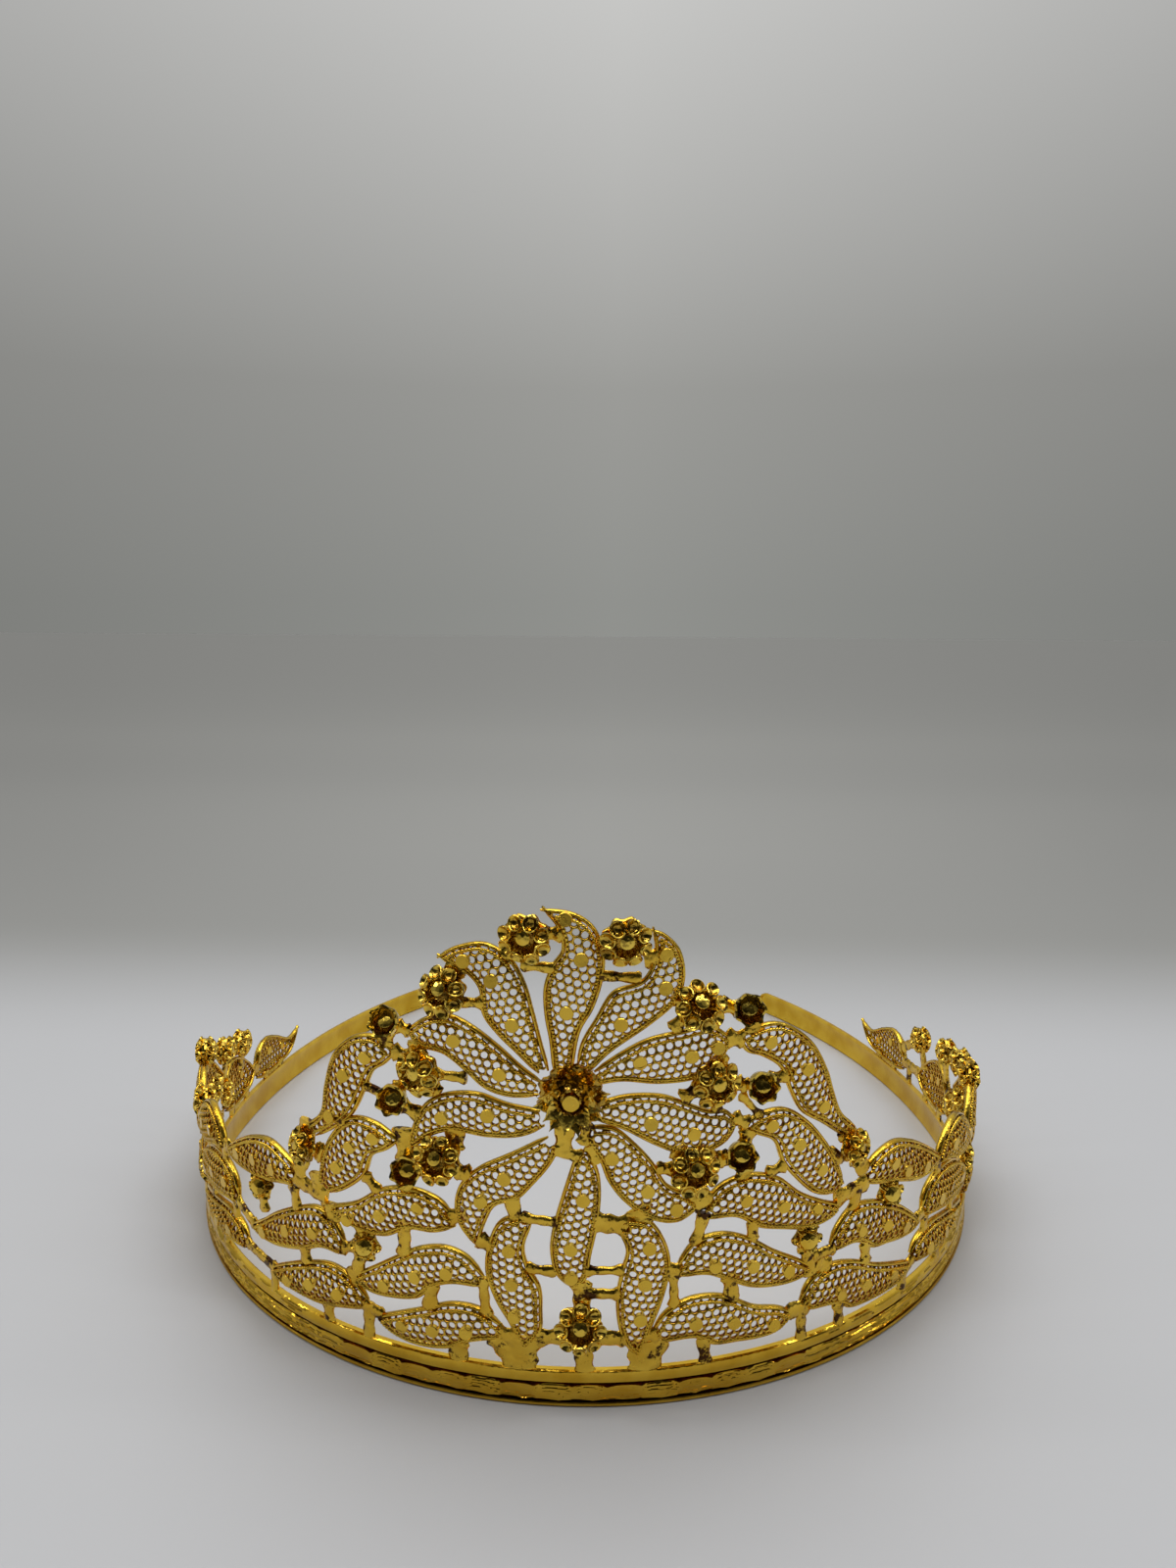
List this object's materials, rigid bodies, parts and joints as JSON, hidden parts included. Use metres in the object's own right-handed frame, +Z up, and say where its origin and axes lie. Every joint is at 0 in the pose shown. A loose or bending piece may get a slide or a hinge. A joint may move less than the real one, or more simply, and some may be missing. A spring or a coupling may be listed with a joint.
{
  "type": "tiara crown",
  "caption": "Open horseshoe crown: grooved band with a tall openwork panel of pierced leaves, beaded flowers and small cups, lower towards the rear.",
  "frame": {"origin": "middle of the crown's outline in plan, on the surface that the band rests on", "axes": "+Z up, -Y towards the tall front panel, +X towards the wearer's left"},
  "size_m": [0.1422, 0.1458, 0.0679],
  "materials": {
    "polished_gold": "polished",
    "pierced_gold": "polished, pierced",
    "flower_gold": "bright cut",
    "solder_gold": "satin"
  },
  "bodies": {
    "root": {"band_front": "polished_gold", "band_arm_left": "polished_gold", "band_arm_right": "polished_gold", "end_cap_left": "polished_gold", "end_cap_right": "polished_gold", "rosette_star": "flower_gold", "rosette_pin": "flower_gold", "petal_1": "pierced_gold", "petal_2": "pierced_gold", "petal_3": "pierced_gold", "petal_4": "pierced_gold", "petal_5": "pierced_gold", "petal_6": "pierced_gold", "petal_7": "pierced_gold", "petal_8": "pierced_gold", "petal_9": "pierced_gold", "centre_leaf": "pierced_gold", "lyre_leaf_left": "pierced_gold", "lyre_leaf_right": "pierced_gold", "left_crest_leaf": "pierced_gold", "left_rising_leaf": "pierced_gold", "left_high_leaf_1": "pierced_gold", "left_high_leaf_2": "pierced_gold", "left_mid_leaf_1": "pierced_gold", "left_mid_leaf_2": "pierced_gold", "left_low_leaf_1": "pierced_gold", "left_low_leaf_2": "pierced_gold", "left_side_high_leaf": "pierced_gold", "left_side_mid_leaf": "pierced_gold", "left_side_low_leaf": "pierced_gold", "left_ear_high_leaf": "pierced_gold", "left_ear_low_leaf": "pierced_gold", "left_rear_leaf": "pierced_gold", "left_end_leaf": "pierced_gold", "right_crest_leaf": "pierced_gold", "right_rising_leaf": "pierced_gold", "right_high_leaf_1": "pierced_gold", "right_high_leaf_2": "pierced_gold", "right_mid_leaf_1": "pierced_gold", "right_mid_leaf_2": "pierced_gold", "right_low_leaf_1": "pierced_gold", "right_low_leaf_2": "pierced_gold", "right_side_high_leaf": "pierced_gold", "right_side_mid_leaf": "pierced_gold", "right_side_low_leaf": "pierced_gold", "right_ear_high_leaf": "pierced_gold", "right_ear_low_leaf": "pierced_gold", "right_rear_leaf": "pierced_gold", "right_end_leaf": "pierced_gold", "large_flowers": "flower_gold", "shoulder_flowers": "flower_gold", "base_flower": "flower_gold", "ring_cups": "flower_gold", "disc_studs": "flower_gold", "side_flowers_left": "flower_gold", "side_flowers_right": "flower_gold", "ties_centre": "solder_gold", "ties_left": "solder_gold", "ties_right": "solder_gold"}
  },
  "joints": []
}
